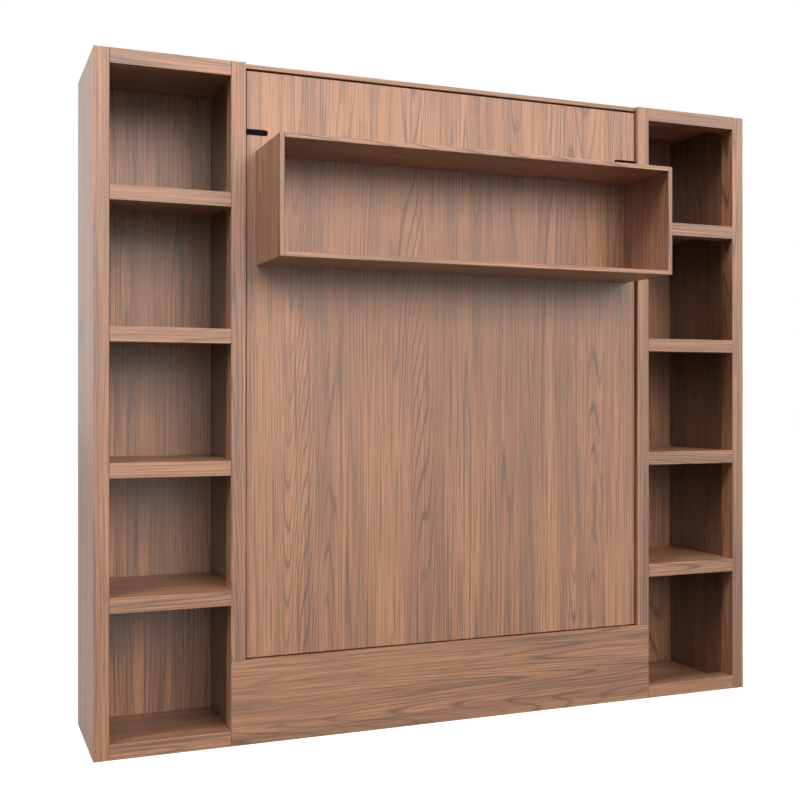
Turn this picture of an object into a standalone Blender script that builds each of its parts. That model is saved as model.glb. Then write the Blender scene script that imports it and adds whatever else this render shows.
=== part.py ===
"""Murphy wall bed between two bookcases, with a shelf box that becomes the bed's leg.

Units are metres, +Z is up, +X is to the right seen from the front, and +Y runs back to the wall.
The origin is under the middle of the whole object's box, on the floor. Depths are given as a
distance back from the cabinet's front plane, and the function y_at turns them into world Y.
Everything is drawn at rest: the bed stands folded up in its bay.
"""

import math

import bmesh
import bpy
from mathutils import Matrix, Vector

# Cabinet
CABINET_WIDTH = 2.442
CABINET_HEIGHT = 2.200
CABINET_DEPTH = 0.444
BOOKCASE_WIDTH = 0.478
FRONT_WIDTH = 0.048              # face width of the stiles and of the boards' built-up front edges
FRONT_DEPTH = 0.068              # how far the stiles and front edges reach back
OUTER_SIDE_THICK = 0.034
INNER_SIDE_THICK = 0.020
CASE_THICK = 0.016               # shelves, tops, bottoms and backs of the bookcases
SHELF_CENTRES = (0.4747, 0.8922, 1.3158, 1.7544)
BACK_SET_IN = 0.4235             # from the front to the face of a bookcase's back panel
BAY_TOP_THICK = 0.0155
BAY_BACK_THICK = 0.008
PLINTH_HEIGHT = 0.273
PLINTH_THICK = 0.016
BAY_PLAY = 0.001                 # boards across the bay end this far from the uprights
CLOSING_RAIL_HEIGHTS = (2.090, 2.165)
CLOSING_RAIL_THICK = 0.025
TOUCH = 0.0003                   # gap kept between pieces that touch
EDGE = 0.0012                    # eased edge of a board

# Bed
PANEL_RECESS = 0.015             # panel face behind the cabinet's front plane
PANEL_THICK = 0.019
PANEL_SIDE_GAP = 0.005
PANEL_LOW = PLINTH_HEIGHT + 0.003
PANEL_HIGH = 2.178
PIVOT_DEPTH = 0.075
FLOOR_CLEARANCE = 0.001
LEG_REACH = 0.268                # shelf box in front of the cabinet's front plane
FRAME_HALF = 0.713               # centre line to the side rails' outer faces
SIDE_RAIL_THICK = 0.020
FRAME_BACK = 0.164
FRAME_LOW = 0.100
FRAME_HIGH = 2.060
END_RAIL_THICK = 0.020
HEAD_RAIL_BACK = 0.250
CENTRE_RAIL_THICK = 0.025
LEDGE = 0.025
LEDGE_BACK = 0.110
SLAT_COUNT = 7
SLAT_WIDTH = 0.120
SLAT_THICK = 0.012
SLAT_END_GAP = 0.010             # from an end rail to the nearest slat
MATTRESS_HALF = 0.685
MATTRESS_LENGTH = 1.905
MATTRESS_THICK = 0.200
MATTRESS_ROUND = 0.030
STRAP_HEIGHTS = (0.620, 1.450)
STRAP_WIDTH = 0.050
STRAP_THICK = 0.0025
STRAP_LAP = 0.014                # how far a strap's end reaches down inside the side rail

# Shelf box that is also the leg
BOX_HALF = 0.7055
BOX_LOW = 1.546
BOX_HIGH = 1.921
BOX_BOARD = 0.015

# Pivot pins and gas struts
PIN_RADIUS = 0.008
PIN_PLAY = 0.00015
PIN_SHORT = 0.0015               # the pin's tip ends this far inside the side rail's inner face
PLATE_THICK = 0.003
PLATE_EASED = 0.0006
PIVOT_PLATE = (0.080, 0.120)     # depth and height of a plate
STRUT_PLATE = (0.040, 0.060)
BED_PLATE = (0.036, 0.036)
STRUT_OFFSET = 0.728             # centre line of the cabinet to a strut's own plane
STRUT_TOP = (0.260, 0.670)       # depth and height of the cylinder's stud
STRUT_FOOT = (0.099, 0.266)      # depth and height of the rod's stud on the bed
CYLINDER_RADIUS = 0.010
CYLINDER_WALL = 0.0015
CYLINDER_END = 0.255
ROD_RADIUS = 0.004
PISTON_HEIGHT = 0.012
PISTON_RISE = 0.042              # from the cylinder's open end up to the piston's top
STUD_RADIUS = 0.004
EYE_RADIUS = 0.011
EYE_THICK = 0.009
SOCKET_RADIUS = 0.0085

# Slots in the panel, slide bolts and their pockets
SLOT_HEIGHT = 0.020
SLOT_DEPTH = 0.015
SLOT_LENGTHS = {"left": 0.072, "right": 0.088}
SLOT_CENTRES = {"left": 1.980, "right": 1.9895}
BOLT_PLAY = 0.0008
BOLT_THICK = 0.011
BOLT_FRONT = PANEL_RECESS + 0.0035
BOLT_END = 0.0015                # from the panel's edge in to the bolt's square end
GRIP_SIZE = (0.004, 0.004, 0.012)
GRIP_INSET = 0.045               # from the bolt's square end in to its grip
POCKET_DEPTH = 0.012
POCKET_PLAY = 0.001

OUTER_HALF = CABINET_WIDTH / 2
BAY_HALF = OUTER_HALF - BOOKCASE_WIDTH
PANEL_HALF = BAY_HALF - PANEL_SIDE_GAP
PANEL_BACK = PANEL_RECESS + PANEL_THICK
PIVOT_HEIGHT = PIVOT_DEPTH + LEG_REACH + FLOOR_CLEARANCE
RAIL_INNER = FRAME_HALF - SIDE_RAIL_THICK
SLAT_BACK = LEDGE_BACK + TOUCH + SLAT_THICK
MATTRESS_FRONT = SLAT_BACK + 2 * TOUCH
MATTRESS_BACK = MATTRESS_FRONT + MATTRESS_THICK
SIDES = (("left", -1), ("right", 1))

# colour, roughness, metallic
FINISHES = {
    "walnut": ((0.50, 0.29, 0.18), 0.48, 0.0),
    "walnut_dark": ((0.33, 0.17, 0.10), 0.50, 0.0),
    "birch": ((0.66, 0.50, 0.33), 0.55, 0.0),
    "steel": ((0.55, 0.55, 0.56), 0.35, 1.0),
    "black_metal": ((0.015, 0.015, 0.016), 0.45, 0.0),
    "ticking": ((0.80, 0.78, 0.73), 0.90, 0.0),
    "webbing": ((0.05, 0.05, 0.055), 0.85, 0.0),
}


def y_at(depth):
    """World Y of a depth behind the cabinet's front plane."""
    return (LEG_REACH - CABINET_DEPTH) / 2 + depth


def clear_scene():
    for old in list(bpy.data.objects):
        bpy.data.objects.remove(old, do_unlink=True)


def world_location(piece):
    """World place of an object whose parents are not turned."""
    location = piece.location.copy()
    while piece.parent:
        piece = piece.parent
        location += piece.location
    return location


def add_object(name, mesh, finish, parent=None, location=(0, 0, 0), smooth=False):
    """Links a mesh as a sub-part with its own material. The location is in the world."""
    colour, roughness, metallic = FINISHES[finish]
    material = bpy.data.materials.new(name)
    material.use_nodes = True
    shader = material.node_tree.nodes["Principled BSDF"]
    shader.inputs["Base Color"].default_value = (*colour, 1)
    shader.inputs["Roughness"].default_value = roughness
    shader.inputs["Metallic"].default_value = metallic
    mesh.materials.append(material)
    if smooth:
        mesh.shade_smooth()
        mesh.set_sharp_from_angle(angle=math.radians(35))
    piece = bpy.data.objects.new(name, mesh)
    bpy.context.collection.objects.link(piece)
    piece.location = Vector(location)
    if parent:
        piece.parent = parent
        piece.location -= world_location(parent)
    return piece


def add_pivot(name, location, parent=None):
    pivot = bpy.data.objects.new(name, None)
    bpy.context.collection.objects.link(pivot)
    pivot.location = Vector(location)
    if parent:
        pivot.parent = parent
        pivot.location -= world_location(parent)
    return pivot


def mesh_from(bm, name):
    bmesh.ops.recalc_face_normals(bm, faces=bm.faces)
    mesh = bpy.data.meshes.new(name)
    bm.to_mesh(mesh)
    bm.free()
    return mesh


def box_bmesh(size, eased=0.0, segments=1):
    bm = bmesh.new()
    bmesh.ops.create_cube(bm, size=1)
    bmesh.ops.scale(bm, vec=Vector(size), verts=bm.verts)
    if eased:
        bmesh.ops.bevel(bm, geom=bm.edges[:], offset=eased, segments=segments, affect="EDGES")
    return bm


def prism_bmesh(outline, axes, low, high, eased=0.0):
    """Extrudes an outline. axes gives the outline's two axes and the extrusion's, as 0, 1 or 2."""
    bm = bmesh.new()
    corners = []
    for a, b in outline:
        point = Vector((0, 0, 0))
        point[axes[0]], point[axes[1]], point[axes[2]] = a, b, low
        corners.append(bm.verts.new(point))
    face = bm.faces.new(corners)
    grown = bmesh.ops.extrude_face_region(bm, geom=[face])
    moved = [v for v in grown["geom"] if isinstance(v, bmesh.types.BMVert)]
    step = Vector((0, 0, 0))
    step[axes[2]] = high - low
    bmesh.ops.translate(bm, vec=step, verts=moved)
    if eased:
        bmesh.ops.recalc_face_normals(bm, faces=bm.faces)
        bmesh.ops.bevel(bm, geom=bm.edges[:], offset=eased, segments=1, affect="EDGES")
    return bm


def lathe_bmesh(profile, segments=24):
    """Turns (radius, height) points about Z. The first and last points lie on the axis."""
    bm = bmesh.new()
    rings = []
    for radius, height in profile:
        if radius == 0:
            rings.append([bm.verts.new((0, 0, height))])
            continue
        turn = [2 * math.pi * k / segments for k in range(segments)]
        rings.append([bm.verts.new((radius * math.cos(a), radius * math.sin(a), height)) for a in turn])
    for below, above in zip(rings, rings[1:]):
        for k in range(segments):
            corners = [below[k % len(below)], below[(k + 1) % len(below)]]
            corners += [above[(k + 1) % len(above)], above[k % len(above)]]
            bm.faces.new(list(dict.fromkeys(corners)))
    return bm


def rod_bmesh(radius, low, high, segments=24):
    """A plain rod along X."""
    bm = lathe_bmesh([(0, low), (radius, low), (radius, high), (0, high)], segments)
    bmesh.ops.transform(bm, matrix=Matrix.Rotation(math.radians(90), 4, "Y"), verts=bm.verts)
    return bm


def moved(bm, offset):
    bmesh.ops.translate(bm, vec=Vector(offset), verts=bm.verts)
    return bm


def ease_edges(bm, width):
    """Chamfers the outer corners of a shape made of flat faces."""
    flat_angle, sharp_angle = math.radians(1), math.radians(30)
    bmesh.ops.dissolve_limit(bm, angle_limit=flat_angle, verts=bm.verts, edges=bm.edges)
    sharp = [e for e in bm.edges if e.is_convex and e.calc_face_angle(0) > sharp_angle]
    bmesh.ops.bevel(bm, geom=sharp, offset=width, segments=1, affect="EDGES")
    return bm


def combine(first, second, operation):
    """Joins or cuts two bmeshes and gives the result as a mesh."""
    pair = []
    for bm in (first, second):
        mesh = mesh_from(bm, "shape")
        pair.append(bpy.data.objects.new("shape", mesh))
        bpy.context.collection.objects.link(pair[-1])
    tool = pair[0].modifiers.new("combine", "BOOLEAN")
    tool.operation = operation
    tool.object = pair[1]
    bpy.context.view_layer.update()
    graph = bpy.context.evaluated_depsgraph_get()
    result = bpy.data.meshes.new_from_object(pair[0].evaluated_get(graph))
    for shape in pair:
        bpy.data.objects.remove(shape, do_unlink=True)
    return result


def bmesh_of(mesh):
    bm = bmesh.new()
    bm.from_mesh(mesh)
    return bm


def centre_of(x, depth, z):
    return Vector((sum(x) / 2, y_at(sum(depth) / 2), sum(z) / 2))


def add_board(name, x, depth, z, finish, parent=None, eased=EDGE):
    """A board with eased edges, from its extents. x may run either way round."""
    size = (abs(x[1] - x[0]), depth[1] - depth[0], z[1] - z[0])
    mesh = mesh_from(box_bmesh(size, eased), name)
    return add_object(name, mesh, finish, parent, centre_of(x, depth, z))


# ---- cabinet ----

def build_outer_side(side, way):
    """Outer stile of a bookcase, and the side panel behind it."""
    stile_x = (way * (OUTER_HALF - FRONT_WIDTH), way * OUTER_HALF)
    add_board(f"stile_outer_{side}", stile_x, (0, FRONT_DEPTH), (0, CABINET_HEIGHT), "walnut")
    panel_x = (way * (OUTER_HALF - OUTER_SIDE_THICK), way * OUTER_HALF)
    panel_depth = (FRONT_DEPTH + TOUCH, CABINET_DEPTH)
    add_board(f"side_outer_{side}", panel_x, panel_depth, (0, CABINET_HEIGHT), "walnut")


def build_inner_side(side, way):
    """Stile between bookcase and bay, notched for the plinth and with a pocket for the slide bolt,
    and the side panel behind it."""
    notch_depth = PLINTH_THICK + TOUCH
    notch_height = PLINTH_HEIGHT + TOUCH
    outline = [
        (notch_depth, 0),
        (FRONT_DEPTH, 0),
        (FRONT_DEPTH, CABINET_HEIGHT),
        (0, CABINET_HEIGHT),
        (0, notch_height),
        (notch_depth, notch_height),
    ]
    x = sorted((way * BAY_HALF, way * (BAY_HALF + FRONT_WIDTH)))
    stile = prism_bmesh(outline, (1, 2, 0), x[0], x[1], EDGE)
    pocket = box_bmesh((2 * POCKET_DEPTH, SLOT_DEPTH, SLOT_HEIGHT + POCKET_PLAY))
    moved(pocket, (way * BAY_HALF, BOLT_FRONT + BOLT_THICK / 2, SLOT_CENTRES[side]))
    mesh = combine(stile, pocket, "DIFFERENCE")
    add_object(f"stile_inner_{side}", mesh, "walnut", location=(0, y_at(0), 0))
    panel_x = (way * BAY_HALF, way * (BAY_HALF + INNER_SIDE_THICK))
    panel_depth = (FRONT_DEPTH + TOUCH, CABINET_DEPTH)
    add_board(f"side_inner_{side}", panel_x, panel_depth, (0, CABINET_HEIGHT), "walnut")


def add_case_board(name, way, back, board_z, front_z):
    """A thin board between a bookcase's side panels, with a thick front edge between its stiles."""
    front_x = (BAY_HALF + FRONT_WIDTH + TOUCH, OUTER_HALF - FRONT_WIDTH - TOUCH)
    board_x = (BAY_HALF + INNER_SIDE_THICK + TOUCH, OUTER_HALF - OUTER_SIDE_THICK - TOUCH)
    step = FRONT_DEPTH + TOUCH
    outline = [
        (way * front_x[0], 0),
        (way * front_x[1], 0),
        (way * front_x[1], step),
        (way * board_x[1], step),
        (way * board_x[1], back),
        (way * board_x[0], back),
        (way * board_x[0], step),
        (way * front_x[0], step),
    ]
    board = prism_bmesh(outline, (0, 1, 2), *board_z)
    front = box_bmesh((front_x[1] - front_x[0], FRONT_DEPTH, front_z[1] - front_z[0]))
    moved(front, (way * sum(front_x) / 2, FRONT_DEPTH / 2, sum(front_z) / 2))
    shape = ease_edges(bmesh_of(combine(board, front, "UNION")), EDGE)
    add_object(name, mesh_from(shape, name), "walnut", location=(0, y_at(0), 0))


def build_bookcase(side, way):
    low = (0, CASE_THICK)
    add_case_board(f"case_bottom_{side}", way, CABINET_DEPTH, low, (0, FRONT_WIDTH))
    high = (CABINET_HEIGHT - CASE_THICK, CABINET_HEIGHT)
    high_front = (CABINET_HEIGHT - FRONT_WIDTH, CABINET_HEIGHT)
    add_case_board(f"case_top_{side}", way, CABINET_DEPTH, high, high_front)
    for number, height in enumerate(SHELF_CENTRES, 1):
        front = (height - FRONT_WIDTH / 2, height + FRONT_WIDTH / 2)
        board = (front[1] - CASE_THICK, front[1])
        add_case_board(f"shelf_{side}_{number}", way, BACK_SET_IN - TOUCH, board, front)
    inner = BAY_HALF + INNER_SIDE_THICK + TOUCH
    outer = OUTER_HALF - OUTER_SIDE_THICK - TOUCH
    back_depth = (BACK_SET_IN, BACK_SET_IN + CASE_THICK)
    back_z = (low[1] + TOUCH, high[0] - TOUCH)
    add_board(f"case_back_{side}", (way * inner, way * outer), back_depth, back_z, "walnut")


def build_bay():
    across = (BAY_PLAY - BAY_HALF, BAY_HALF - BAY_PLAY)
    top = (CABINET_HEIGHT - BAY_TOP_THICK, CABINET_HEIGHT - TOUCH)
    add_board("bay_top", across, (PANEL_RECESS, CABINET_DEPTH), top, "walnut")
    back = (CABINET_DEPTH - BAY_BACK_THICK, CABINET_DEPTH)
    add_board("bay_back", across, back, (0, top[0] - TOUCH), "walnut_dark")
    behind_panel = PANEL_BACK + TOUCH
    rail = (behind_panel, behind_panel + CLOSING_RAIL_THICK)
    add_board("closing_rail", across, rail, CLOSING_RAIL_HEIGHTS, "walnut_dark")
    plinth_half = BAY_HALF + FRONT_WIDTH - TOUCH
    plinth_across = (-plinth_half, plinth_half)
    add_board("plinth_board", plinth_across, (0, PLINTH_THICK), (0, PLINTH_HEIGHT), "walnut")


def plate_and_stud(face, near, stud_radius, stud_tip, way):
    """A plate from near to near + PLATE_THICK along X, with a stud from its middle to stud_tip."""
    middle = near + PLATE_THICK / 2
    plate = moved(box_bmesh((PLATE_THICK, *face), PLATE_EASED), (way * middle, 0, 0))
    ends = sorted((way * stud_tip, way * middle))
    stud = rod_bmesh(stud_radius, ends[0], ends[1])
    return combine(plate, stud, "UNION")


def build_pivot_plate(side, way):
    """Steel plate on the bay's upright, with the pin that the bed turns on."""
    near = BAY_HALF - TOUCH - PLATE_THICK
    mesh = plate_and_stud(PIVOT_PLATE, near, PIN_RADIUS, RAIL_INNER - PIN_SHORT, way)
    place = (0, y_at(PIVOT_DEPTH), PIVOT_HEIGHT)
    add_object(f"pivot_plate_{side}", mesh, "steel", location=place, smooth=True)


def build_strut_bracket(side, way):
    """Plate and stud on the bay's upright that carry the strut's cylinder."""
    near = BAY_HALF - TOUCH - PLATE_THICK
    past_eye = 0.001
    tip = STRUT_OFFSET - EYE_THICK / 2 - past_eye
    mesh = plate_and_stud(STRUT_PLATE, near, STUD_RADIUS, tip, way)
    place = (0, y_at(STRUT_TOP[0]), STRUT_TOP[1])
    add_object(f"strut_bracket_{side}", mesh, "steel", location=place, smooth=True)


def build_cabinet():
    for side, way in SIDES:
        build_outer_side(side, way)
        build_inner_side(side, way)
        build_bookcase(side, way)
        build_pivot_plate(side, way)
        build_strut_bracket(side, way)
    build_bay()


# ---- bed ----

def slot_outline(way, outer_end, length, height):
    """Outline in X and Z, square at the outer end and half round at the inner one."""
    radius = height / 2
    centre = outer_end - length + radius
    outline = [(way * outer_end, -radius), (way * outer_end, radius)]
    steps = 12
    for k in range(steps + 1):
        angle = math.pi / 2 + math.pi * k / steps
        outline.append((way * (centre + radius * math.cos(angle)), radius * math.sin(angle)))
    return outline


def build_panel(pivot):
    """Front panel, with a slot at each side edge for the slide bolts."""
    size = (2 * PANEL_HALF, PANEL_THICK, PANEL_HIGH - PANEL_LOW)
    middle = (PANEL_LOW + PANEL_HIGH) / 2
    panel = box_bmesh(size, EDGE)
    front = -PANEL_THICK / 2
    for side, way in SIDES:
        past_edge = 0.005
        length = SLOT_LENGTHS[side] + past_edge
        outline = slot_outline(way, PANEL_HALF + past_edge, length, SLOT_HEIGHT)
        slot = prism_bmesh(outline, (0, 2, 1), front - past_edge, front + SLOT_DEPTH)
        moved(slot, (0, 0, SLOT_CENTRES[side] - middle))
        panel = bmesh_of(combine(panel, slot, "DIFFERENCE"))
    place = (0, y_at(PANEL_RECESS + PANEL_THICK / 2), middle)
    add_object("bed_panel", mesh_from(panel, "bed_panel"), "walnut", pivot, place)


def build_side_rail(side, way, pivot):
    """Side rail with the hole for the pivot pin, and the ledge inside it that carries the slats."""
    front = PANEL_BACK + TOUCH
    rail = box_bmesh((SIDE_RAIL_THICK, FRAME_BACK - front, FRAME_HIGH - FRAME_LOW), EDGE)
    middle_height = (FRAME_LOW + FRAME_HIGH) / 2
    moved(rail, (way * (RAIL_INNER + FRAME_HALF) / 2, (front + FRAME_BACK) / 2, middle_height))
    past = 0.010
    hole_ends = sorted((way * (RAIL_INNER - past), way * (FRAME_HALF + past)))
    hole = rod_bmesh(PIN_RADIUS + PIN_PLAY, hole_ends[0], hole_ends[1])
    moved(hole, (0, PIVOT_DEPTH, PIVOT_HEIGHT))
    mesh = combine(rail, hole, "DIFFERENCE")
    add_object(f"side_rail_{side}", mesh, "birch", pivot, (0, y_at(0), 0))
    ledge_x = (way * (RAIL_INNER - TOUCH - LEDGE), way * (RAIL_INNER - TOUCH))
    ledge_depth = (LEDGE_BACK - LEDGE, LEDGE_BACK)
    end = END_RAIL_THICK + TOUCH
    ledge_z = (FRAME_LOW + end, FRAME_HIGH - end)
    add_board(f"slat_ledge_{side}", ledge_x, ledge_depth, ledge_z, "birch", pivot)


def build_frame(pivot):
    inner = RAIL_INNER - TOUCH
    across = (-inner, inner)
    front = PANEL_BACK + TOUCH
    low = (FRAME_LOW, FRAME_LOW + END_RAIL_THICK)
    high = (FRAME_HIGH - END_RAIL_THICK, FRAME_HIGH)
    add_board("head_rail", across, (front, HEAD_RAIL_BACK), low, "birch", pivot)
    add_board("foot_rail", across, (front, FRAME_BACK), high, "birch", pivot)
    span = (low[1] + TOUCH, high[0] - TOUCH)
    centre_across = (-CENTRE_RAIL_THICK / 2, CENTRE_RAIL_THICK / 2)
    add_board("centre_rail", centre_across, (front, LEDGE_BACK), span, "birch", pivot)
    slat_depth = (LEDGE_BACK + TOUCH, SLAT_BACK)
    first = span[0] + SLAT_END_GAP
    pitch = (span[1] - SLAT_END_GAP - SLAT_WIDTH - first) / (SLAT_COUNT - 1)
    for k in range(SLAT_COUNT):
        edge = first + pitch * k
        add_board(f"slat_{k + 1}", across, slat_depth, (edge, edge + SLAT_WIDTH), "birch", pivot)


def build_mattress(pivot):
    low = FRAME_LOW + END_RAIL_THICK + 2 * TOUCH
    size = (2 * MATTRESS_HALF, MATTRESS_THICK, MATTRESS_LENGTH)
    mesh = mesh_from(box_bmesh(size, MATTRESS_ROUND, segments=4), "mattress")
    place = (0, y_at((MATTRESS_FRONT + MATTRESS_BACK) / 2), low + MATTRESS_LENGTH / 2)
    add_object("mattress", mesh, "ticking", pivot, place, smooth=True)


def build_strap(name, height, pivot):
    """A band across the mattress whose two ends are fixed inside the side rails."""
    outer = RAIL_INNER - TOUCH
    inner = outer - STRAP_THICK
    over = MATTRESS_BACK + TOUCH
    foot = FRAME_BACK - STRAP_LAP
    outline = [
        (-outer, foot),
        (-inner, foot),
        (-inner, over),
        (inner, over),
        (inner, foot),
        (outer, foot),
        (outer, over + STRAP_THICK),
        (-outer, over + STRAP_THICK),
    ]
    low, high = height - STRAP_WIDTH / 2, height + STRAP_WIDTH / 2
    band = prism_bmesh(outline, (0, 1, 2), low, high)
    add_object(name, mesh_from(band, name), "webbing", pivot, (0, y_at(0), 0))


def build_leg_box(pivot):
    """Open shelf box on the front panel. Its front edges stand on the floor when the bed is down."""
    depth = (-LEG_REACH, PANEL_RECESS - TOUCH)
    inner = BOX_HALF - BOX_BOARD
    for side, way in SIDES:
        x = (way * inner, way * BOX_HALF)
        add_board(f"leg_box_{side}", x, depth, (BOX_LOW, BOX_HIGH), "walnut", pivot)
    across = (-inner + TOUCH, inner - TOUCH)
    add_board("leg_box_top", across, depth, (BOX_HIGH - BOX_BOARD, BOX_HIGH), "walnut", pivot)
    add_board("leg_box_bottom", across, depth, (BOX_LOW, BOX_LOW + BOX_BOARD), "walnut", pivot)


def build_bed_strut_bracket(side, way, pivot):
    """Plate and stud on the side rail. The strut's rod end covers the stud's tip."""
    beside_socket = 0.0005
    tip = STRUT_OFFSET - EYE_THICK / 2 - beside_socket
    mesh = plate_and_stud(BED_PLATE, FRAME_HALF + TOUCH, STUD_RADIUS, tip, way)
    place = (0, y_at(STRUT_FOOT[0]), STRUT_FOOT[1])
    add_object(f"bed_strut_bracket_{side}", mesh, "steel", pivot, place, smooth=True)


def build_bed():
    pivot = add_pivot("bed_pivot", (0, y_at(PIVOT_DEPTH), PIVOT_HEIGHT))
    build_panel(pivot)
    for side, way in SIDES:
        build_side_rail(side, way, pivot)
        build_bed_strut_bracket(side, way, pivot)
    build_frame(pivot)
    build_mattress(pivot)
    for name, height in zip(("strap_head", "strap_foot"), STRAP_HEIGHTS):
        build_strap(name, height, pivot)
    build_leg_box(pivot)
    return pivot


# ---- gas struts and slide bolts ----

def cylinder_mesh():
    """Tube along -Z with an eye at the top, open at the bottom for the rod."""
    collar, shoulder, guide = 0.020, 0.028, 0.012
    bore = CYLINDER_RADIUS - CYLINDER_WALL
    tube = lathe_bmesh([
        (0, -collar),
        (CYLINDER_RADIUS, -collar),
        (CYLINDER_RADIUS, -CYLINDER_END),
        (ROD_RADIUS + TOUCH, -CYLINDER_END),
        (ROD_RADIUS + TOUCH, guide - CYLINDER_END),
        (bore, guide - CYLINDER_END),
        (bore, -shoulder),
        (0, -shoulder),
    ])
    neck_size = (EYE_THICK - 0.001, 0.012, 0.020)
    neck_drop = 0.014
    neck = moved(box_bmesh(neck_size), (0, 0, -neck_drop))
    eye = bmesh_of(combine(rod_bmesh(EYE_RADIUS, -EYE_THICK / 2, EYE_THICK / 2), neck, "UNION"))
    hole = rod_bmesh(STUD_RADIUS + TOUCH, -EYE_THICK, EYE_THICK)
    return combine(tube, bmesh_of(combine(eye, hole, "DIFFERENCE")), "UNION")


def rod_mesh(length):
    """Piston and rod along -Z, with the socket for the bed's stud at the far end."""
    piston_radius = CYLINDER_RADIUS - CYLINDER_WALL - TOUCH
    piston_top = PISTON_RISE - CYLINDER_END
    rod = lathe_bmesh([
        (0, piston_top),
        (piston_radius, piston_top),
        (piston_radius, piston_top - PISTON_HEIGHT),
        (ROD_RADIUS, piston_top - PISTON_HEIGHT),
        (ROD_RADIUS, -length),
        (0, -length),
    ])
    socket = moved(rod_bmesh(SOCKET_RADIUS, -EYE_THICK / 2, EYE_THICK / 2), (0, 0, -length))
    return combine(rod, socket, "UNION")


def build_strut(side, way):
    """A gas strut that hangs from its upper stud and points at the bed's stud."""
    run = STRUT_FOOT[0] - STRUT_TOP[0]
    drop = STRUT_TOP[1] - STRUT_FOOT[1]
    top = (way * STRUT_OFFSET, y_at(STRUT_TOP[0]), STRUT_TOP[1])
    name = f"strut_cylinder_{side}"
    cylinder = add_object(name, cylinder_mesh(), "black_metal", location=top, smooth=True)
    cylinder.rotation_euler.x = math.atan2(run, drop)
    rod = rod_mesh(math.hypot(run, drop))
    add_object(f"strut_rod_{side}", rod, "steel", cylinder, top, smooth=True)


def build_slide_bolt(side, way, pivot):
    """Black bolt in the panel's slot. It slides outwards into the upright's pocket."""
    guide_place = (way * PANEL_HALF, y_at(PANEL_RECESS), SLOT_CENTRES[side])
    guide = add_pivot(f"slide_bolt_guide_{side}", guide_place, pivot)
    outer_end = PANEL_HALF - BOLT_END
    length = SLOT_LENGTHS[side] - 2 * BOLT_END
    outline = slot_outline(way, outer_end, length, SLOT_HEIGHT - 2 * BOLT_PLAY)
    bar = prism_bmesh(outline, (0, 2, 1), BOLT_FRONT, BOLT_FRONT + BOLT_THICK)
    grip_eased, grip_sunk = 0.0005, 0.0015
    grip_place = (way * (outer_end - GRIP_INSET), BOLT_FRONT + grip_sunk - GRIP_SIZE[1] / 2, 0)
    grip = moved(box_bmesh(GRIP_SIZE, grip_eased), grip_place)
    mesh = combine(bar, grip, "UNION")
    mesh.transform(Matrix.Translation((-way * PANEL_HALF, -PANEL_RECESS, 0)))
    add_object(f"slide_bolt_{side}", mesh, "black_metal", guide, guide_place)


clear_scene()
build_cabinet()
bed_pivot = build_bed()
for side_name, side_way in SIDES:
    build_strut(side_name, side_way)
    build_slide_bolt(side_name, side_way, bed_pivot)
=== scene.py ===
"""Wall bed between two open bookcases: finishes, mattress, straps, fixings and studio."""
import math

import bpy
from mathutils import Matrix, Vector
from mathutils.bvhtree import BVHTree


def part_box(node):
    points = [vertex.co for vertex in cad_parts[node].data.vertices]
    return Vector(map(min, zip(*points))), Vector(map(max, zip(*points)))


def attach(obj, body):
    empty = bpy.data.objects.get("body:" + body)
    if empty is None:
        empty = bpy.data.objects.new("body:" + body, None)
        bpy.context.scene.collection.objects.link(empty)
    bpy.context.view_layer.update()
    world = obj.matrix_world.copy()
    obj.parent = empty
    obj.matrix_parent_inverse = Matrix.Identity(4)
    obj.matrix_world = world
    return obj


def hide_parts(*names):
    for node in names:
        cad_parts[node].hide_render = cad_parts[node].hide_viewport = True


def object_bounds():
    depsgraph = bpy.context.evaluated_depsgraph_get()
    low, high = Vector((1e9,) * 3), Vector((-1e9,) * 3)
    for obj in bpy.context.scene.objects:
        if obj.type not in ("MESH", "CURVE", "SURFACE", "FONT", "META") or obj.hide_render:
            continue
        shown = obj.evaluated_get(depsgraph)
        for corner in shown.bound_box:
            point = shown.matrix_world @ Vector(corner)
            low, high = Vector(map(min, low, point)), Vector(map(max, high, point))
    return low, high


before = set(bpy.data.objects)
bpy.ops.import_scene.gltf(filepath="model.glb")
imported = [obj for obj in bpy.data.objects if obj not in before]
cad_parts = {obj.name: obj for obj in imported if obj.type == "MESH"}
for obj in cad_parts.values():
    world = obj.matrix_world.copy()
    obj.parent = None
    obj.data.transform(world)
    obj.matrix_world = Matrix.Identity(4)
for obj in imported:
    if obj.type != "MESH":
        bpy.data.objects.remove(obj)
frame_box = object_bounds()

# ---------------------------------------------------------------- finishes: how they are written

MATHS = {"+": "ADD", "-": "SUBTRACT", "*": "MULTIPLY", "/": "DIVIDE", "**": "POWER", ">": "GREATER_THAN"}


class Socket:
    """A value inside a finish, on which sums can be written like ordinary numbers."""

    def __init__(self, finish, socket):
        self.finish = finish
        self.socket = socket

    def sum(self, sign, left, right):
        return self.finish.add("ShaderNodeMath", {"operation": MATHS[sign]}, {0: left, 1: right})

    def __add__(self, other):
        return self.sum("+", self, other)

    def __radd__(self, other):
        return self.sum("+", other, self)

    def __sub__(self, other):
        return self.sum("-", self, other)

    def __rsub__(self, other):
        return self.sum("-", other, self)

    def __mul__(self, other):
        return self.sum("*", self, other)

    def __rmul__(self, other):
        return self.sum("*", other, self)

    def __truediv__(self, other):
        return self.sum("/", self, other)

    def __rtruediv__(self, other):
        return self.sum("/", other, self)

    def __pow__(self, other):
        return self.sum("**", self, other)

    def __gt__(self, other):
        return self.sum(">", self, other)

    def function(self, name):
        return self.finish.add("ShaderNodeMath", {"operation": name}, {0: self})

    def wave(self):
        """A smooth wave from 0 to 1, once for each whole step of the value."""
        return (self * math.tau).function("SINE") * 0.5 + 0.5


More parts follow.
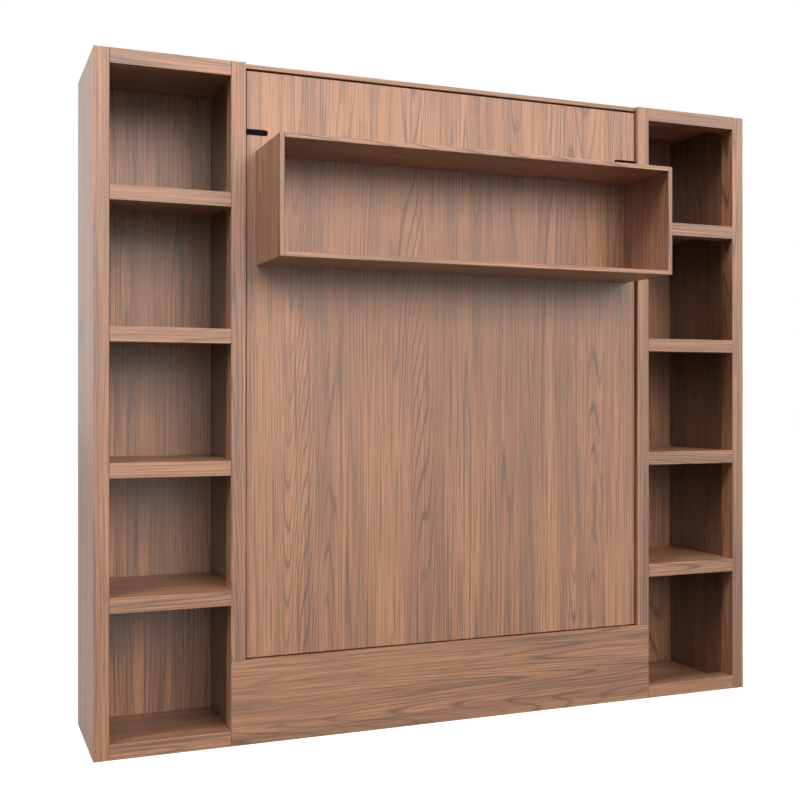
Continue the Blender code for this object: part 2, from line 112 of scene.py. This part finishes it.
class NodeSheet:
    """A tree of shader nodes written as expressions."""

    def __init__(self, owner):
        owner.use_nodes = True
        self.nodes = owner.node_tree.nodes
        self.links = owner.node_tree.links

    def add(self, kind, settings, sockets, output=0):
        """A node of that kind: its settings first, then the values or links of its sockets."""
        node = self.nodes.new(kind)
        for name, value in settings.items():
            setattr(node, name, value)
        for name, value in sockets.items():
            self.feed(node.inputs[name], value)
        return Socket(self, node.outputs[output])

    def feed(self, inlet, value):
        if isinstance(value, Socket):
            self.links.new(value.socket, inlet)
        else:
            inlet.default_value = value

    def split(self, vector):
        return [self.add("ShaderNodeSeparateXYZ", {}, {0: vector}, axis) for axis in range(3)]

    def joined(self, x, y, z):
        return self.add("ShaderNodeCombineXYZ", {}, {0: x, 1: y, 2: z})

    def noise(self, spot, scale=1.0, detail=2.0, roughness=0.5, distortion=0.0):
        sockets = {"Vector": spot, "Scale": scale, "Detail": detail, "Roughness": roughness}
        sockets["Distortion"] = distortion
        return self.add("ShaderNodeTexNoise", {}, sockets, "Fac")

    def mix(self, amount, first, second):
        """The first colour turning into the second as the amount goes from 0 to 1."""
        settings = {"data_type": "RGBA", "clamp_factor": True}
        return self.add("ShaderNodeMix", settings, {0: amount, 6: first, 7: second}, 2)

    def scaled(self, colour, amount):
        """A colour made lighter or darker by an amount."""
        settings = {"operation": "SCALE"}
        return self.add("ShaderNodeVectorMath", settings, {0: colour, "Scale": amount})

    def between(self, value, low, high):
        """0 below low, 1 above high and smooth between them."""
        settings = {"interpolation_type": "SMOOTHSTEP"}
        return self.add("ShaderNodeMapRange", settings, {0: value, 1: low, 2: high})


class Finish(NodeSheet):
    """A material: its nodes, and the shader that they feed."""

    def __init__(self, name):
        self.material = bpy.data.materials.new(name)
        super().__init__(self.material)
        self.shader = self.nodes["Principled BSDF"]

    def set(self, **values):
        """Values and links of the shader's own sockets, with _ for a space."""
        for name, value in values.items():
            self.feed(self.shader.inputs[name.replace("_", " ")], value)

    def place(self):
        """The three coordinates on the piece, in metres, with the bed folded up."""
        return self.split(self.add("ShaderNodeTexCoord", {}, {}, "Object"))

    def bump(self, height, depth, strength=1.0):
        """Relief of that depth in metres."""
        sockets = {"Strength": strength, "Distance": depth, "Height": height}
        self.set(Normal=self.add("ShaderNodeBump", {}, sockets))

    def board_chance(self):
        """A number from 0 to 1 that differs from board to board."""
        return self.add("ShaderNodeObjectInfo", {}, {}, "Random")


def rgb(red, green, blue):
    return (red, green, blue, 1.0)


# ---------------------------------------------------------------- wood finishes

WALNUT_LIGHT = rgb(0.440, 0.212, 0.112)
WALNUT_MID = rgb(0.350, 0.160, 0.080)
WALNUT_GREY = rgb(0.235, 0.122, 0.072)
WALNUT_LINE = rgb(0.058, 0.026, 0.016)
WALNUT_PORE = rgb(0.045, 0.017, 0.009)
WALNUT_SHEEN = 0.22              # weight of the satin lacquer
WALNUT_SHEEN_ROUGHNESS = 0.34
PORE_DEPTH = 0.00012
INNER_FACES_FROM = 0.75          # how far from the middle the bookcases' insides begin, where the side faces get painted shade
OUTER_SKIN = 0.0008              # the outermost faces, which get no painted shade


def grain_place(finish, along):
    """Coordinates across, through and along the grain, shifted from board to board."""
    x, y, z = finish.place()
    chance = finish.board_chance()
    across, through, run = {"x": (z, y, x), "y": (x, z, y), "z": (x, y, z)}[along]
    return across + chance * 7.3, through + chance * 3.1, run + chance * 11.7


def walnut(name, along, gloss=0.44, tone=1.0, painted_inner_shade=1.0):
    """Satin walnut-effect board with its grain along x, y or z. tone darkens the whole board; the inner
    factor is painted shade, darkening only the side faces inside the bookcases as if little light reached
    them."""
    finish = Finish(name)
    across, through, run = grain_place(finish, along)
    # The grain sways and shivers sideways along the board.
    sway = finish.noise(finish.joined(across * 2.2, through * 2.2, run * 1.0), detail=2.0) - 0.5
    shiver = finish.noise(finish.joined(across * 9, through * 9, run * 5), detail=2.0) - 0.5
    across = across + sway * 0.024 + shiver * 0.004
    # Growth rings are the contours of a slow field, faint in places.
    growth = finish.joined(across * 5.0, through * 5.0, run * 0.20)
    figure = finish.noise(growth, detail=1.0, roughness=0.4)
    ripple = finish.noise(finish.joined(across * 60, through * 60, run * 2.5), detail=2.0)
    rings = (figure * 56 + ripple * 0.5).wave()
    faint = finish.noise(finish.joined(across * 8, through * 8, run * 0.9), detail=2.0)
    lines = (rings ** 7.0) * finish.between(faint, 0.36, 0.60)
    # Bands, streaks, fibres and pores, from the widest to the finest.
    bands = finish.noise(finish.joined(across * 19, through * 19, run * 0.45), detail=3.0, roughness=0.6)
    streaks = finish.noise(finish.joined(across * 150, through * 150, run * 1.8), detail=3.0, roughness=0.65)
    fibres = finish.noise(finish.joined(across * 400, through * 400, run * 2.6), detail=2.0, roughness=0.6)
    pores = finish.noise(finish.joined(across * 700, through * 700, run * 18), detail=2.0, roughness=0.6)
    pits = finish.between(pores, 0.60, 0.72)
    colour = finish.mix(finish.between(bands, 0.38, 0.60), WALNUT_MID, WALNUT_LIGHT)
    colour = finish.mix(finish.between(bands, 0.49, 0.36) * 0.60, colour, WALNUT_GREY)
    colour = finish.mix(finish.between(streaks, 0.52, 0.32) * 0.55, colour, WALNUT_LINE)
    colour = finish.mix(finish.between(fibres, 0.54, 0.38) * 0.60, colour, WALNUT_LINE)
    colour = finish.mix(lines * 0.82, colour, WALNUT_LINE)
    colour = finish.mix(pits * 0.45, colour, WALNUT_PORE)
    # Painted shade: the inner factor darkens the side faces inside the bookcases, standing in for the shadow
    # deep in the compartments.
    if painted_inner_shade != 1.0:
        facing = finish.add("ShaderNodeTexCoord", {}, {}, "Normal")
        sideways = finish.split(facing)[0].function("ABSOLUTE") > 0.5
        out = finish.place()[0].function("ABSOLUTE")
        outermost = out > frame_box[1][0] - OUTER_SKIN
        inside = (out > INNER_FACES_FROM) * (1 - outermost) * sideways
        colour = finish.scaled(colour, 1.0 - inside * (1.0 - painted_inner_shade))
    colour = finish.scaled(colour, tone)
    finish.set(
        Base_Color=colour,
        Roughness=gloss + streaks * 0.10 + pits * 0.12 - 0.04,
        Specular_IOR_Level=1.0,
        IOR=1.5,
        Coat_Weight=WALNUT_SHEEN,
        Coat_Roughness=WALNUT_SHEEN_ROUGHNESS,
    )
    finish.bump(streaks * 0.25 - pits, PORE_DEPTH, 0.5)
    return finish.material


BIRCH_PALE = rgb(0.70, 0.54, 0.36)
BIRCH_TAN = rgb(0.52, 0.36, 0.21)
BIRCH_BROWN = rgb(0.36, 0.22, 0.12)
PLIES_PER_METRE = 620


def birch(name, along, through_axis):
    """Bare birch plywood; its layers show on the edges that cut through them."""
    finish = Finish(name)
    places = dict(zip("xyz", finish.place()))
    across, through, run = grain_place(finish, along)
    plies = (places[through_axis] * PLIES_PER_METRE).wave()
    grain = finish.noise(finish.joined(across * 22, through * 22, run * 1.4), detail=4.0, roughness=0.6)
    fibres = finish.noise(finish.joined(across * 240, through * 240, run * 9), detail=2.0)
    flame = finish.noise(finish.joined(across * 7, through * 7, run * 9), detail=2.0)
    colour = finish.mix(finish.between(grain, 0.35, 0.70), BIRCH_TAN, BIRCH_PALE)
    colour = finish.mix(finish.between(fibres, 0.58, 0.74) * 0.30, colour, BIRCH_BROWN)
    colour = finish.mix(plies * 0.34, colour, BIRCH_BROWN)
    colour = finish.scaled(colour, 0.92 + flame * 0.16)
    finish.set(Base_Color=colour, Roughness=0.50 + grain * 0.18, Specular_IOR_Level=0.4)
    finish.bump(fibres + plies * 0.4, 0.00012, 0.5)
    return finish.material


# ---------------------------------------------------------------- metal and fabric finishes


def zinc(name):
    """Zinc-plated sheet steel with the drawn lines and dull spots of plating."""
    finish = Finish(name)
    x, y, z = finish.place()
    drawn = finish.noise(finish.joined(x * 900, y * 900, z * 30), detail=2.0)
    spots = finish.noise(finish.joined(x, y, z), scale=90, detail=3.0)
    colour = finish.mix(spots, rgb(0.50, 0.51, 0.53), rgb(0.70, 0.70, 0.71))
    finish.set(Base_Color=colour, Metallic=1.0, Roughness=0.24 + drawn * 0.14 + spots * 0.10)
    finish.bump(drawn, 0.00003, 0.6)
    return finish.material


def chrome(name):
    """Ground and polished strut rod, with fine rings round it."""
    finish = Finish(name)
    x, y, z = finish.place()
    rings = finish.noise(finish.joined(x * 30, y * 300, z * 900), detail=2.0)
    haze = finish.noise(finish.joined(x, y, z), scale=35, detail=2.0)
    colour = finish.mix(haze, rgb(0.62, 0.63, 0.65), rgb(0.78, 0.78, 0.79))
    finish.set(Base_Color=colour, Metallic=1.0, Roughness=0.10 + rings * 0.08 + haze * 0.05)
    finish.bump(rings, 0.00001, 0.5)
    return finish.material


def black_coat(name, shine=0.4):
    """Black powder coat: fine orange peel, and paler where hands rub it."""
    finish = Finish(name)
    spot = finish.joined(*finish.place())
    peel = finish.noise(spot, scale=1400, detail=2.0)
    rubbed = finish.between(finish.noise(spot, scale=26, detail=3.0), 0.52, 0.70)
    colour = finish.mix(rubbed * 0.5, rgb(0.006, 0.006, 0.006), rgb(0.016, 0.015, 0.014))
    finish.set(Base_Color=colour, Roughness=0.50 + peel * 0.14 - rubbed * 0.10, Specular_IOR_Level=shine)
    finish.bump(peel, 0.00006, 0.6)
    return finish.material


def weave(one, other, pitch):
    """Height of a plain weave whose threads lie along two coordinates."""
    first = (one / pitch).wave()
    second = (other / pitch).wave()
    over = ((one / (2 * pitch)).wave() > 0.5) + ((other / (2 * pitch)).wave() > 0.5)
    odd = (over * 0.5).function("FRACT") * 2
    return first * odd + second * (1 - odd)


WEBBING_THREAD = 0.0022
WEBBING_RIB = 0.0062


def webbing(name):
    """Black elastic webbing with raised ribs along it."""
    finish = Finish(name)
    x, y, z = finish.place()
    cloth = weave(x + y, z, WEBBING_THREAD)
    ribs = (z / WEBBING_RIB).wave()
    fluff = finish.noise(finish.joined(x, y, z), scale=1500, detail=2.0)
    colour = finish.mix(cloth * 0.7 + ribs * 0.3, rgb(0.010, 0.010, 0.012), rgb(0.050, 0.050, 0.055))
    colour = finish.mix(fluff * 0.2, colour, rgb(0.09, 0.09, 0.10))
    finish.set(Base_Color=colour, Roughness=0.72 + fluff * 0.2, Specular_IOR_Level=0.25)
    finish.bump(cloth + ribs * 0.8 + fluff * 0.2, 0.0006, 0.8)
    return finish.material


def ticking(name):
    """Cream knitted mattress ticking with fine wales and a woven-in tone-on-tone figure."""
    finish = Finish(name)
    x, y, z = finish.place()
    spot = finish.joined(x, y, z)
    slant = (z * 480 + (x * 900).wave() * 0.5).wave()
    wales = ((x + y) * 900).wave()
    knit = slant * 0.6 + wales * 0.4
    figure = finish.between(finish.noise(spot, scale=30, detail=1.0, distortion=1.6), 0.46, 0.54)
    cloud = finish.noise(spot, scale=6, detail=3.0)
    colour = finish.mix(figure * 0.6, rgb(0.58, 0.55, 0.50), rgb(0.68, 0.66, 0.61))
    colour = finish.mix(knit * 0.22, colour, rgb(0.44, 0.41, 0.36))
    colour = finish.scaled(colour, 0.94 + cloud * 0.10)
    finish.set(Base_Color=colour, Roughness=0.82 + figure * 0.08, Specular_IOR_Level=0.2)
    finish.set(Sheen_Weight=0.25, Sheen_Roughness=0.5)
    finish.bump(knit + figure * 0.8, 0.0004, 0.6)
    return finish.material


def tape(name):
    """Ribbed grey-beige edge tape, sewn along the mattress borders."""
    finish = Finish(name)
    x, y, z = finish.place()
    ribs = ((x + z) * 520).wave()
    fluff = finish.noise(finish.joined(x, y, z), scale=900, detail=2.0)
    colour = finish.mix(ribs * 0.6 + fluff * 0.3, rgb(0.24, 0.21, 0.17), rgb(0.44, 0.41, 0.36))
    finish.set(Base_Color=colour, Roughness=0.78 + fluff * 0.1, Specular_IOR_Level=0.2)
    finish.bump(ribs + fluff * 0.4, 0.0004, 0.7)
    return finish.material


WALNUT_UP = walnut("walnut_upright_grain", "z")
# The side panels carry painted shade on their faces inside the bookcases.
WALNUT_SIDE = walnut("walnut_side_panel", "z", painted_inner_shade=0.46)
WALNUT_LEVEL = walnut("walnut_level_grain", "x")
WALNUT_BACK = walnut("walnut_back_board", "z", gloss=0.52, tone=0.85)
BIRCH_RAIL = birch("birch_side_rail", "z", "x")
BIRCH_END = birch("birch_end_rail", "x", "z")
BIRCH_SLAT = birch("birch_slat", "x", "y")
ZINC = zinc("zinc_plate")
CHROME = chrome("strut_rod_chrome")
BLACK = black_coat("black_powder_coat")
BOLT_BLACK = black_coat("matt_black_bolt", shine=0.03)
WEBBING = webbing("elastic_webbing")
TICKING = ticking("mattress_ticking")
TAPE = tape("mattress_edge_tape")

FINISH_OF = {
    "stile_": WALNUT_UP,
    "side_outer_": WALNUT_SIDE,
    "side_inner_": WALNUT_SIDE,
    "case_back_": WALNUT_UP,
    "bed_panel": WALNUT_UP,
    "leg_box_left": WALNUT_UP,
    "leg_box_right": WALNUT_UP,
    "leg_box_top": WALNUT_LEVEL,
    "leg_box_bottom": WALNUT_LEVEL,
    "case_top_": WALNUT_LEVEL,
    "case_bottom_": WALNUT_LEVEL,
    "shelf_": WALNUT_LEVEL,
    "plinth_board": WALNUT_LEVEL,
    "bay_top": WALNUT_LEVEL,
    "bay_back": WALNUT_BACK,
    "closing_rail": WALNUT_BACK,
    "side_rail_": BIRCH_RAIL,
    "slat_ledge_": BIRCH_RAIL,
    "centre_rail": BIRCH_RAIL,
    "head_rail": BIRCH_END,
    "foot_rail": BIRCH_END,
    "slat_": BIRCH_SLAT,
    "pivot_plate_": ZINC,
    "strut_bracket_": ZINC,
    "bed_strut_bracket_": ZINC,
    "strut_rod_": CHROME,
    "strut_cylinder_": BLACK,
    "slide_bolt_": BOLT_BLACK,
    "strap_": WEBBING,
    "mattress": TICKING,
}


def finish_nodes():
    """Each piece of the frame takes the finish with the longest name that it begins with."""
    for name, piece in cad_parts.items():
        start = max((key for key in FINISH_OF if name.startswith(key)), key=len)
        for place in piece.material_slots:
            place.material = FINISH_OF[start]


# ---------------------------------------------------------------- mattress

MATTRESS_GRID = 0.013            # size of the squares of cloth
MATTRESS_SLACK = 0.009           # how much smaller the cover starts, as it swells
COVER_PRESSURE = 3.0
COVER_STEPS = 20                 # steps in which the cover swells
CROWN_CAP = 0.024                # furthest that any point of the cover swells
CROWN_RISE = 0.012               # how far the crown stands over the mattress's plain depth
SIDE_BULGE = 0.004               # how far the long sides may bulge
END_BULGE = 0.006                # and the head and foot
QUILT_PITCH = 0.150
QUILT_DEPTH = 0.0075
QUILT_BORDER = 0.060
QUILT_SEAM = 0.011               # half width of the valley along a seam
QUILT_WANDER = 0.006             # how far a sewn line strays from straight
PILLOW_RISE = 0.35               # how high a pillow stands, as a share of a seam's depth
BORDER_SEAMS = (0.38, 0.62)      # lines sewn round the border, as shares of its height
BORDER_SEAM_WIDTH = 0.03
BORDER_SEAM_DEPTH = 0.0025
STRAP_REST = 0.0006              # gap between a strap and the cover that it holds down
STRAP_RISE = 0.013               # how much the cover rises beside a strap
STRAP_PULL = 0.10                # and how far from the strap it takes to do so
TAPE_RADIUS = 0.0045
TAPE_INSET = 0.020               # from the mattress's top or underside to the tape's middle
TAPE_CORNER = 0.045
TAPE_STEP = 0.02
TAPE_SEARCH = 0.012              # how far outside the plain mattress the cover is looked for


def piece_from(name, data):
    piece = bpy.data.objects.new(name, data)
    bpy.context.scene.collection.objects.link(piece)
    return piece


def apply_modifiers(piece):
    depsgraph = bpy.context.evaluated_depsgraph_get()
    mesh = bpy.data.meshes.new_from_object(piece.evaluated_get(depsgraph))
    piece.modifiers.clear()
    piece.data = mesh


def swell(piece, pressure):
    """Inflates a closed cloth cover and keeps the result."""
    before = [v.co.copy() for v in piece.data.vertices]
    cloth = piece.modifiers.new("cover", "CLOTH")
    cloth.settings.use_pressure = True
    cloth.settings.uniform_pressure_force = pressure
    cloth.settings.effector_weights.gravity = 0
    cloth.settings.quality = 4
    cloth.settings.tension_stiffness = 12
    cloth.settings.compression_stiffness = 12
    cloth.settings.shear_stiffness = 6
    cloth.settings.bending_stiffness = 0.6
    cloth.point_cache.frame_start = 1
    cloth.point_cache.frame_end = COVER_STEPS
    for step in range(1, COVER_STEPS + 1):
        bpy.context.scene.frame_set(step)
    apply_modifiers(piece)
    bpy.context.scene.frame_set(1)
    for vertex, start in zip(piece.data.vertices, before):
        move = vertex.co - start
        if move.length > CROWN_CAP:
            vertex.co = start + move.normalized() * CROWN_CAP


def smooth_step(value):
    value = min(max(value, 0.0), 1.0)
    return value * value * (3 - 2 * value)


def quilt(x, z, low, high):
    """How deep the sewn diamonds pull the top in at a point, from 0 on a pillow to 1 on a seam."""
    inside = min(x - low.x, high.x - x, z - low.z, high.z - z)
    fade = smooth_step((inside - QUILT_BORDER * 0.6) / QUILT_BORDER)
    wander = QUILT_WANDER * math.sin(x * 9 + z * 5)
    one = ((x + z + wander) / QUILT_PITCH) % 1.0
    other = ((x - z + wander) / QUILT_PITCH) % 1.0
    nearest = min(abs(one - 0.5), abs(other - 0.5)) * QUILT_PITCH
    seam = math.exp(-((nearest / QUILT_SEAM) ** 2))
    pillow = PILLOW_RISE * math.cos(math.pi * (one - 0.5)) * math.cos(math.pi * (other - 0.5))
    return fade * (seam - pillow)


def border_seam(depth, low, high):
    """The border between the two tapes is sewn along two lines."""
    share = (depth - low) / (high - low)
    return sum(math.exp(-(((share - line) / BORDER_SEAM_WIDTH) ** 2)) for line in BORDER_SEAMS)


def plain_cover(low, high):
    """The mattress's cover before it swells, as an even net of cloth a little smaller than it."""
    cover = piece_from("mattress_cover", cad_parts["mattress"].data.copy())
    middle = (low + high) / 2
    half = (high - low) / 2
    for vertex in cover.data.vertices:
        for axis in range(3):
            share = (half[axis] - MATTRESS_SLACK) / half[axis]
            vertex.co[axis] = middle[axis] + (vertex.co[axis] - middle[axis]) * share
    net = cover.modifiers.new("cloth_squares", "REMESH")
    net.mode = "VOXEL"
    net.voxel_size = MATTRESS_GRID
    apply_modifiers(cover)
    return cover


def crown_under_straps(z, straps):
    """How far over the plain depth the top may stand at a height, with the straps holding it down."""
    rise = CROWN_RISE
    for strap_low, strap_high in straps:
        beside = max(strap_low[2] - z, z - strap_high[2], 0.0)
        rise = min(rise, STRAP_RISE * smooth_step(beside / STRAP_PULL) - STRAP_REST)
    return rise


def sew(cover, low, high, straps):
    """Pulls in the seams of the top and the border, and holds the cover in its space."""
    side = (high.x - low.x) / 2 + SIDE_BULGE
    middle = (low.x + high.x) / 2
    cover.data.update()
    normals = [normal.vector.copy() for normal in cover.data.vertex_normals]
    for vertex, normal in zip(cover.data.vertices, normals):
        spot = vertex.co
        top = smooth_step((normal.y - 0.4) / 0.4)
        under = smooth_step((-normal.y - 0.4) / 0.4)
        border = 1 - max(top, under)
        dip = QUILT_DEPTH * top * quilt(spot.x, spot.z, low, high)
        dip += BORDER_SEAM_DEPTH * border * border_seam(spot.y, low.y, high.y)
        spot -= normal * dip
        spot.y = min(max(spot.y, low.y + 0.0003), high.y + crown_under_straps(spot.z, straps))
        spot.x = min(max(spot.x, middle - side), middle + side)
        spot.z = min(max(spot.z, low.z - END_BULGE), high.z + END_BULGE)


def build_mattress():
    low, high = (Vector(corner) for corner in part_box("mattress"))
    cover = plain_cover(low, high)
    swell(cover, COVER_PRESSURE)
    finer = cover.modifiers.new("finer", "SUBSURF")
    finer.levels = 1
    apply_modifiers(cover)
    sew(cover, low, high, [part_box("strap_head"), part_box("strap_foot")])
    for face in cover.data.polygons:
        face.use_smooth = True
    cover.data.materials.clear()
    cover.data.materials.append(TICKING)
    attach(cover, "bed")
    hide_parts("mattress")
    build_edge_tape("mattress_tape_top", cover, high.y - TAPE_INSET)
    build_edge_tape("mattress_tape_under", cover, low.y + TAPE_INSET)


def rounded_loop(low, high, corner, step):
    """Points round a rectangle with rounded corners in x and z."""
    points = []
    for turn in range(4):
        sign_x = (1, -1, -1, 1)[turn]
        sign_z = (1, 1, -1, -1)[turn]
        centre_x = (high.x if sign_x > 0 else low.x) - sign_x * corner
        centre_z = (high.z if sign_z > 0 else low.z) - sign_z * corner
        for part in range(9):
            angle = math.radians(90 * turn + part * 90 / 8)
            points.append((centre_x + corner * math.cos(angle), centre_z + corner * math.sin(angle)))
    filled = []
    for here, there in zip(points, points[1:] + points[:1]):
        parts = max(1, round(math.dist(here, there) / step))
        for part in range(parts):
            share = part / parts
            across = here[0] + (there[0] - here[0]) * share
            along = here[1] + (there[1] - here[1]) * share
            filled.append((across, along))
    return filled


def build_edge_tape(name, cover, depth):
    """Piping round the mattress, on its surface at one depth."""
    low, high = (Vector(corner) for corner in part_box("mattress"))
    middle = (low + high) / 2
    corners = [vertex.co for vertex in cover.data.vertices]
    surface = BVHTree.FromPolygons(corners, [tuple(face.vertices) for face in cover.data.polygons])
    curve = bpy.data.curves.new(name, "CURVE")
    curve.dimensions = "3D"
    curve.bevel_depth = TAPE_RADIUS
    curve.bevel_resolution = 3
    spline = curve.splines.new("POLY")
    points = rounded_loop(low, high, TAPE_CORNER, TAPE_STEP)
    spline.points.add(len(points) - 1)
    for point, (x, z) in zip(spline.points, points):
        out = Vector((x - middle.x, 0, z - middle.z)).normalized()
        spot = surface.find_nearest(Vector((x, depth, z)) + out * TAPE_SEARCH)[0]
        point.co = (*spot, 1)
    spline.use_cyclic_u = True
    curve.materials.append(TAPE)
    piece = piece_from(name, curve)
    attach(piece, "bed")


# ---------------------------------------------------------------- studio

CAMERA_PLACE = (-1.632, -3.641, 1.116)
CAMERA_TURN = math.radians(21.79)
CAMERA_LIFT = math.radians(0.12)
CAMERA_LENS = 50.68
CAMERA_SENSOR = 36.0
CAMERA_SHIFT = (0.0011, -0.0049)
CAMERA_SEES = 100                # metres


def build_camera():
    data = bpy.data.cameras.new("camera")
    data.lens = CAMERA_LENS
    data.sensor_width = CAMERA_SENSOR
    data.shift_x, data.shift_y = CAMERA_SHIFT
    data.clip_end = CAMERA_SEES
    camera = piece_from("camera", data)
    camera.location = CAMERA_PLACE
    camera.rotation_euler = (math.radians(90) + CAMERA_LIFT, 0, -CAMERA_TURN)
    bpy.context.scene.camera = camera


FLOOR_GLOW = 0.35                # so that the floor stays as white as the room round it
FLOOR_BOUNCE = 0.05              # how pale the floor is as light for the furniture
FLOOR_SHINE = 0.4                # share of the floor's white that the gloss of the boards picks up
FLOOR_REACH = 30
FLOOR_DROP = 0.0005              # how far the floor lies under the cabinet


def floor_paint(name):
    """Pale matt studio floor with the faintest unevenness."""
    finish = Finish(name)
    cloud = finish.noise(finish.joined(*finish.place()), scale=1.3, detail=3.0)
    colour = finish.mix(cloud, rgb(0.90, 0.90, 0.90), rgb(0.93, 0.93, 0.93))
    finish.set(Base_Color=colour, Roughness=0.9, Specular_IOR_Level=0.1)
    finish.set(Emission_Color=rgb(1.0, 1.0, 1.0), Emission_Strength=FLOOR_GLOW)
    dim = finish.add("ShaderNodeBsdfDiffuse", {}, {"Color": rgb(FLOOR_BOUNCE, FLOOR_BOUNCE, FLOOR_BOUNCE)})
    seen = finish.add("ShaderNodeLightPath", {}, {}, "Is Camera Ray")
    seen = seen + finish.add("ShaderNodeLightPath", {}, {}, "Is Glossy Ray") * FLOOR_SHINE
    bright = Socket(finish, finish.shader.outputs[0])
    shown = finish.add("ShaderNodeMixShader", {}, {0: seen, 1: dim, 2: bright})
    finish.feed(finish.nodes["Material Output"].inputs["Surface"], shown)
    return finish.material


def build_floor():
    mesh = bpy.data.meshes.new("floor")
    signs = ((-1, -1), (1, -1), (1, 1), (-1, 1))
    corners = [(x * FLOOR_REACH, y * FLOOR_REACH, -FLOOR_DROP) for x, y in signs]
    mesh.from_pydata(corners, [], [(0, 1, 2, 3)])
    floor = piece_from("floor", mesh)
    mesh.materials.append(floor_paint("studio_floor"))


WORLD_FRONT = 0.16               # the room's light on matt surfaces, from the front
WORLD_SIDES = 1.4                # from the left and right
WORLD_REST = 0.9                 # and from behind and above
GLOSS_FRONT = 1.85               # the room as gloss picks it up, from the front
GLOSS_LEFT = 1.10                # and how much more it does straight from the front and the left
GLOSS_SIDES = 1.10
GLOSS_LOW = 0.85                 # share of the gloss's front light that comes from below
GLOSS_RISE = 0.55                # and what is added to that share from above


def build_world():
    """White all round for the eye, with a strength of its own for matt and for glossy surfaces."""
    world = bpy.data.worlds.new("studio")
    sky = NodeSheet(world)
    x, y, z = sky.split(sky.add("ShaderNodeTexCoord", {}, {}, "Generated"))
    sideways = sky.between(y, -0.50, -0.05)
    leftward = 1 - sky.between(x, 0.05, 0.40)
    beyond = 1 - (1 - sky.between(y, 0.20, 0.60)) * (1 - sky.between(z, 0.35, 0.75))
    around = WORLD_SIDES * (1 - beyond) + WORLD_REST * beyond
    matt = WORLD_FRONT + sideways * (around - WORLD_FRONT)
    front = GLOSS_FRONT + leftward * GLOSS_LEFT
    front = front * (GLOSS_LOW + GLOSS_RISE * sky.between(z, -0.05, 0.25))
    gloss = front * (1 - sideways) + sideways * GLOSS_SIDES
    glossy = sky.add("ShaderNodeLightPath", {}, {}, "Is Glossy Ray")
    seen = sky.add("ShaderNodeLightPath", {}, {}, "Is Camera Ray")
    strength = gloss * glossy + matt * (1 - glossy)
    room = sky.nodes["Background"]
    sky.feed(room.inputs["Color"], rgb(1.0, 1.0, 1.0))
    sky.feed(room.inputs["Strength"], seen + strength * (1 - seen))
    bpy.context.scene.world = world


# Each softbox: where it stands, what it points at, its width and height, and its watts.
SOFTBOXES = {
    "front_softbox": ((2.7, -14.1, 6.8), (0.0, 0.0, 0.9), (8.6, 6.8), 1800),
    "left_softbox": ((-6.4, -3.6, 7.6), (-0.6, 0.0, 1.2), (3.0, 3.0), 560),
}


def build_softbox(name, place, aim, size, power):
    """A lamp for matt surfaces; gloss gets its light from the room."""
    data = bpy.data.lights.new(name, "AREA")
    data.shape = "RECTANGLE"
    data.size, data.size_y = size
    data.energy = power
    light = piece_from(name, data)
    light.visible_glossy = False
    light.location = place
    light.rotation_euler = (Vector(aim) - Vector(place)).to_track_quat("-Z", "Y").to_euler()


def build_studio():
    build_camera()
    build_floor()
    build_world()
    for name, softbox in SOFTBOXES.items():
        build_softbox(name, *softbox)
    view = bpy.context.scene.view_settings
    view.view_transform = "Standard"
    view.look = "None"


build_studio()
finish_nodes()
build_mattress()
